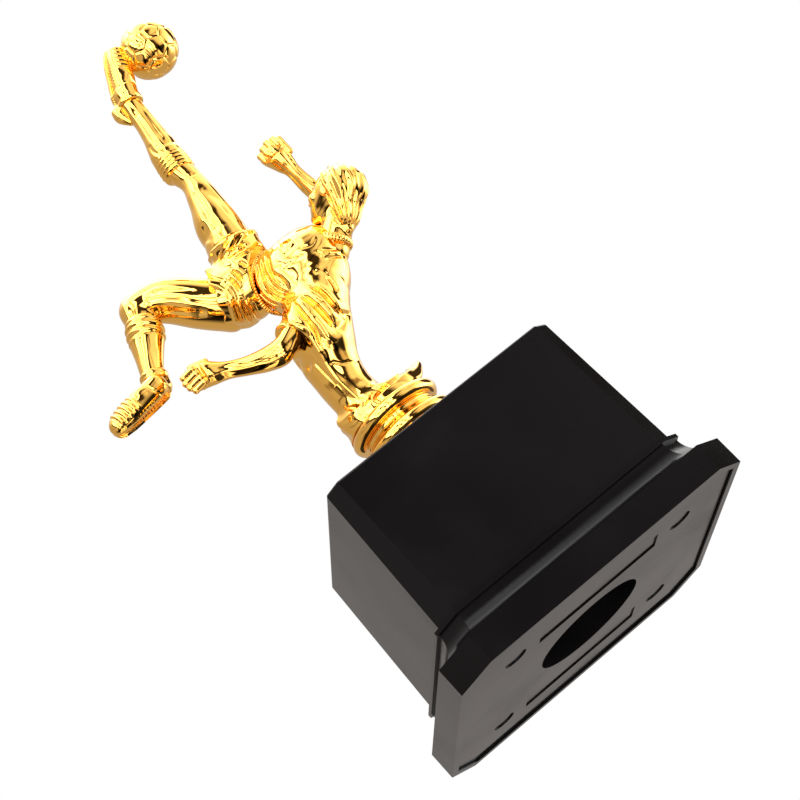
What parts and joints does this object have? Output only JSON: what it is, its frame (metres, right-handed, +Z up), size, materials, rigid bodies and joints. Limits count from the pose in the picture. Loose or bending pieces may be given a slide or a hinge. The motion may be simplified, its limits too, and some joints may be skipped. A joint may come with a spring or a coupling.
{
  "type": "figure trophy",
  "caption": "Award trophy: a gold-plated football player in mid-kick with the ball at the boot, on a ringed stand and a hollow black square plinth.",
  "frame": {"origin": "centre of the plinth's underside, where it stands", "axes": "+Z up; -Y is the front of the plinth; +X points to the player's head and -X to the trailing boot"},
  "size_m": [0.0872, 0.0754, 0.1818],
  "materials": {
    "black_plastic": "moulded, high gloss",
    "gold_plate": "bright gold vacuum-metallised plating on moulded plastic",
    "steel": "zinc plated",
    "ballast": "rough cast gypsum"
  },
  "bodies": {
    "root": {"plinth_shell": "black_plastic", "base_plate": "black_plastic", "ballast_block": "ballast", "threaded_stud": "steel", "flat_washer": "steel", "spring_washer": "steel", "hex_nut": "steel", "stand_foot": "gold_plate", "stand_collar": "gold_plate", "leaf_crown": "gold_plate", "support_column": "gold_plate", "jersey": "gold_plate", "shorts": "gold_plate", "head": "gold_plate", "left_arm": "gold_plate", "right_arm": "gold_plate", "left_thigh": "gold_plate", "left_sock": "gold_plate", "left_boot": "gold_plate", "right_thigh": "gold_plate", "right_sock": "gold_plate", "right_boot": "gold_plate", "football": "gold_plate"}
  },
  "joints": []
}
